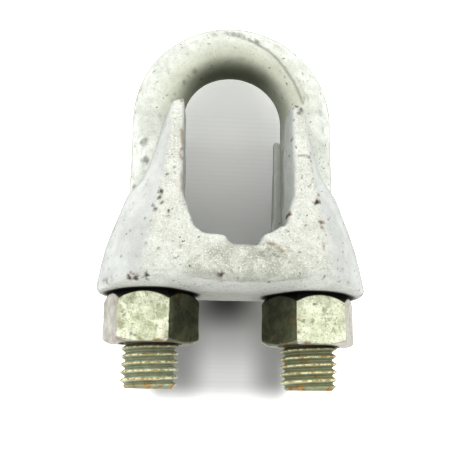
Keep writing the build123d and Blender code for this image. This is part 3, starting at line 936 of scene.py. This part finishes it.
def table_white():
    """Glows like a light table, except in the pool of shade under the clip."""
    k = Shader("table_white")
    place = k.add("SeparateXYZ", {0: k.place})
    x = k.times(place.outputs["X"], 1000.0)
    z = k.times(place.outputs["Z"], 1000.0)
    # distance from the pool's middle line, wider at the saddle and narrower at the leg ends
    above = k.most(k.minus(z, 94.0), 0.0)
    radial = k.length(x, above)
    radial = k.minus(radial, k.span(z, edges=(60, 31), to=(0.0, 6.0)))
    radial = k.plus(radial, k.span(z, edges=(22, 8), to=(0.0, 8.0)))
    # the shades of the legs lie a little to the right of them
    across = k.away(x, centre=3.0)
    to_leg = k.away(across, centre=X_LEG)
    to_end = k.length(k.minus(across, 30.0), k.minus(z, 2.0))
    pool = k.times(k.span(radial, edges=(38, 24)), k.span(z, edges=(-13, 3)))
    leg_ends = k.times(k.span(to_end, edges=(14, 1)), 0.62)
    glow = k.minus(1.0, k.most(pool, leg_ends))
    # glow left inside the loop, weaker towards the saddle, and in the gap between the nuts
    loop = k.times(k.span(z, edges=(52, 116), to=(0.04, 0.36)), k.span(z, edges=(31, 45)))
    gap = k.times(k.span(z, edges=(27, 4), to=(0.0, 0.20)), k.span(across, edges=(18, 5)))
    inner = k.plus(loop, gap)
    ripple = k.plus(1.0, k.times(k.math("SINE", k.times(z, 3.6)), 0.03))
    inner = k.times(inner, ripple, k.minus(1.0, glow))
    # painted shade: darker table behind the saddle and beside the nuts
    under = k.times(k.span(z, edges=(20, 34)), k.span(z, edges=(52, 36)),
                    k.span(k.away(x, centre=1.5), edges=(17, 1)))
    beside = k.times(k.span(to_leg, edges=(22, 8)), k.span(z, edges=(36, 28)),
                     k.span(z, edges=(-4, 6)))
    tone = k.minus(0.66, k.plus(k.times(under, 0.45), k.times(beside, 0.15)))
    seen = k.add("LightPath").outputs["Is Camera Ray"]
    outer = k.times(glow, k.span(seen, edges=(0, 1), to=(0.35, 0.75)))
    surface = k.add("BsdfPrincipled", {
        "Base Color": k.mix(glow, tone, (0.88, 0.88, 0.88)), "Roughness": 0.85,
        "Specular IOR Level": 0.1, "Emission Color": (1.0, 1.0, 1.0),
        "Emission Strength": k.plus(outer, inner)})
    # not seen from behind, and not seen edge-on from the side
    edge_on = k.times(k.facing(edges=(0.70, 0.86)), seen)
    behind = k.add("NewGeometry").outputs["Backfacing"]
    shown = k.add("MixShader", {
        0: k.most(behind, edge_on), 1: surface.outputs[0],
        2: k.add("BsdfTransparent").outputs[0]})
    k.add("OutputMaterial", {"Surface": shown.outputs[0]})
    return k.material


# ------------------------------------------------------------------ build
u_bolt = build_u_bolt()
saddle = build_saddle()
# the darkened faces are painted shade with some dirt, darkest on the face towards the other nut;
# the pale faces are painted light
nut_left = build_nut(
    "nut_left", "nut_left_hex", side=-1, seed=61, pale_faces=[-69.3, 110.7],
    dull_faces=[(50.7, 1.0), (110.7, 0.35), (170.7, 0.6), (-129.3, 0.25)])
nut_right = build_nut(
    "nut_right", "nut_right_hex", side=1, seed=87, pale_faces=[66.0, -114.0],
    dull_faces=[(-54.0, 1.0), (-114.0, 0.3), (126.0, 0.6), (-174.0, 0.25)])

for piece, material, node, slot in (
    (u_bolt, zinc_bar(), "u_bolt", "bar_zinc"),
    (saddle, zinc_forging(), "saddle", "forging_zinc"),
    (nut_left, zinc_nut(1, second=(0.55, 0.57, 0.43)), "nut_left", "nut_zinc"),
    (nut_right, zinc_nut(6, second=(0.68, 0.70, 0.57)), "nut_right", "nut_zinc"),
):
    piece.data.materials.append(material)
    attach(piece, node)
    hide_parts(node)


# ------------------------------------------------------------------ camera
def add_camera():
    azimuth, elevation, roll = (math.radians(v) for v in (CAM_AZIMUTH, CAM_ELEVATION, CAM_ROLL))
    back = Vector((math.sin(azimuth) * math.cos(elevation),
                   -math.cos(azimuth) * math.cos(elevation), math.sin(elevation)))
    right = (-back).cross(Vector((0, 0, 1))).normalized()
    up = right.cross(-back)
    rolled_right = right * math.cos(roll) + up * math.sin(roll)
    rolled_up = up * math.cos(roll) - right * math.sin(roll)
    data = bpy.data.cameras.new("camera")
    data.sensor_width = 36.0
    data.lens = CAM_LENS
    data.clip_start = 0.01
    camera = link_object("camera", data)
    pose = Matrix((rolled_right, rolled_up, back)).transposed().to_4x4()
    pose.translation = Vector(CAM_TARGET) * MM + back * (CAM_DISTANCE * MM)
    camera.matrix_world = pose
    bpy.context.scene.camera = camera


add_camera()

# ------------------------------------------------------------------ stage, in metres
# a pale table behind the clip
TABLE_NORMAL = Vector((0.0, -0.9766, -0.2150)).normalized()
TABLE_UP = Vector((0, TABLE_NORMAL.z, -TABLE_NORMAL.y))
TABLE_RIGHT = Vector((1, 0, 0))
TABLE_OFFSET = -0.042           # from the origin along the normal
TABLE_HALF = 1.6
MID_HEIGHT = 0.06


def add_table():
    centre = TABLE_NORMAL * TABLE_OFFSET + TABLE_UP * MID_HEIGHT
    corners = [centre + Vector((x * TABLE_HALF, 0, 0)) + TABLE_UP * (z * TABLE_HALF)
               for x, z in ((-1, -1), (1, -1), (1, 1), (-1, 1))]
    mesh = bpy.data.meshes.new("table")
    mesh.from_pydata([tuple(v) for v in corners], [], [(0, 1, 2, 3)])
    mesh.update()
    link_object("table", mesh)
    mesh.materials.append(table_white())


add_table()

# ------------------------------------------------------------------ light
LIGHT_DISTANCE = 0.6
LIGHT_SIZE = 0.35
COOL, WARM, NEUTRAL = (0.985, 0.995, 1.0), (1.0, 1.0, 0.95), (1, 1, 1)
# name, direction along the table, degrees above the table, watts, colour
LIGHTS = [
    ("key_top", TABLE_UP, 38, 1.36, (1.0, 0.995, 0.97)),
    ("side_left", -TABLE_RIGHT, 18, 0.87, COOL),
    ("side_right", TABLE_RIGHT, 18, 0.71, COOL),
    ("high_left", -TABLE_RIGHT, 62, 0.62, WARM),
    ("high_right", TABLE_RIGHT, 62, 0.68, WARM),
    ("low_front", -TABLE_UP, 18, 1.25, NEUTRAL),
]


def add_light(name, direction, elevation, watts, colour):
    aim = Vector((0, 0, MID_HEIGHT))
    tilt = math.radians(elevation)
    offset = direction * math.cos(tilt) + TABLE_NORMAL * math.sin(tilt)
    data = bpy.data.lights.new(name, "AREA")
    data.shape = "SQUARE"
    data.size = LIGHT_SIZE
    data.energy = watts
    data.color = colour
    place = aim + offset * LIGHT_DISTANCE
    light = bpy.data.objects.new(name, data)
    light.location = place
    light.rotation_euler = (aim - place).to_track_quat("-Z", "Y").to_euler()
    bpy.context.scene.collection.objects.link(light)


def add_world():
    """Soft surroundings, brighter where the camera sees them directly."""
    strength, camera_extra = 0.48, 0.60
    world = bpy.data.worlds.new("studio")
    world.use_nodes = True
    tree = world.node_tree
    background = tree.nodes["Background"]
    background.inputs["Color"].default_value = (0.93, 0.94, 0.95, 1)
    path = tree.nodes.new("ShaderNodeLightPath")
    lift = tree.nodes.new("ShaderNodeMath")
    lift.operation = "MULTIPLY_ADD"
    lift.inputs[1].default_value = camera_extra
    lift.inputs[2].default_value = strength
    tree.links.new(path.outputs["Is Camera Ray"], lift.inputs[0])
    tree.links.new(lift.outputs[0], background.inputs["Strength"])
    bpy.context.scene.world = world


for light_row in LIGHTS:
    add_light(*light_row)
add_world()
view = bpy.context.scene.view_settings
view.view_transform = "Standard"
view.gamma = 0.6
